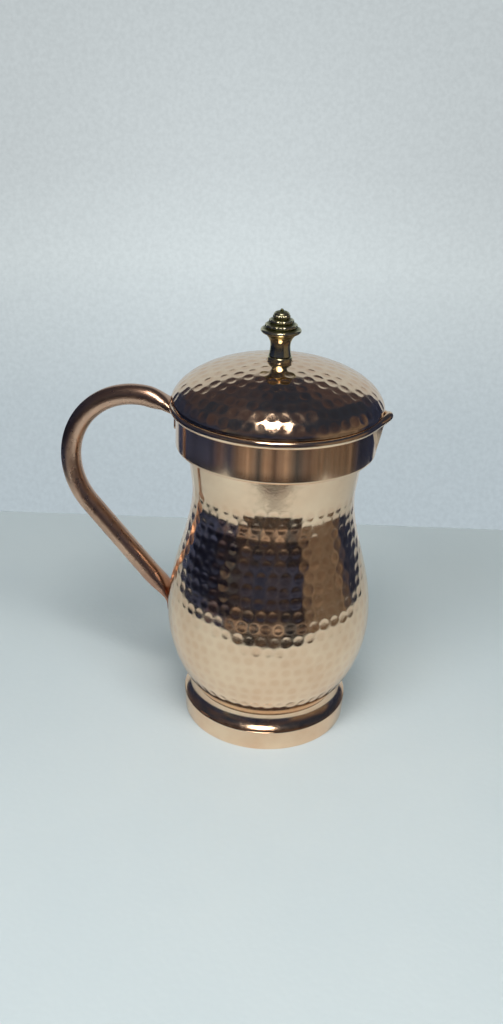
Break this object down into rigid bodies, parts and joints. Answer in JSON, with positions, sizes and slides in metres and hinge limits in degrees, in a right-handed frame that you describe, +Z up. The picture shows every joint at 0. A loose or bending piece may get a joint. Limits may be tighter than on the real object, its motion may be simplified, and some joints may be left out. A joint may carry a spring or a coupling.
{
  "type": "lidded water jug",
  "caption": "Hammered copper water jug with a bulged body, straight collar, small folded spout, bent tube handle, footed base and domed lift-off lid with a turned brass knob.",
  "frame": {"origin": "centre of the foot's resting ring, on the jug's axis, at table level", "axes": "+Z up along the jug's axis, +X towards the spout, -X towards the handle, +Y to the left of someone who looks along +X"},
  "size_m": [0.1952, 0.1212, 0.2524],
  "materials": {
    "hammered_copper": "copper sheet, planished with a round-faced hammer and lacquered bright",
    "polished_copper": "copper sheet, spun and mirror polished",
    "satin_copper": "copper tube, hand rubbed to a dull satin",
    "turned_brass": "turned brass, polished on the high spots and dull in the grooves",
    "steel_wire": "plain drawn steel"
  },
  "bodies": {
    "jug": {"body_shell": "hammered_copper", "bottom_disc": "polished_copper", "foot_ring": "polished_copper", "neck_collar": "polished_copper", "rim_wire": "steel_wire", "spout_beak": "polished_copper", "spout_edge": "polished_copper", "handle": "satin_copper"},
    "lid": {"lid_dome": "hammered_copper", "lid_hem": "polished_copper", "lid_skirt": "polished_copper", "knob_finial": "turned_brass", "knob_screw": "steel_wire", "knob_washer": "turned_brass"}
  },
  "joints": [
    {"name": "lid_lift", "type": "slide", "parent": "jug", "child": "lid", "axis": [0, 0, 1], "range_m": [0, 0.06]}
  ]
}
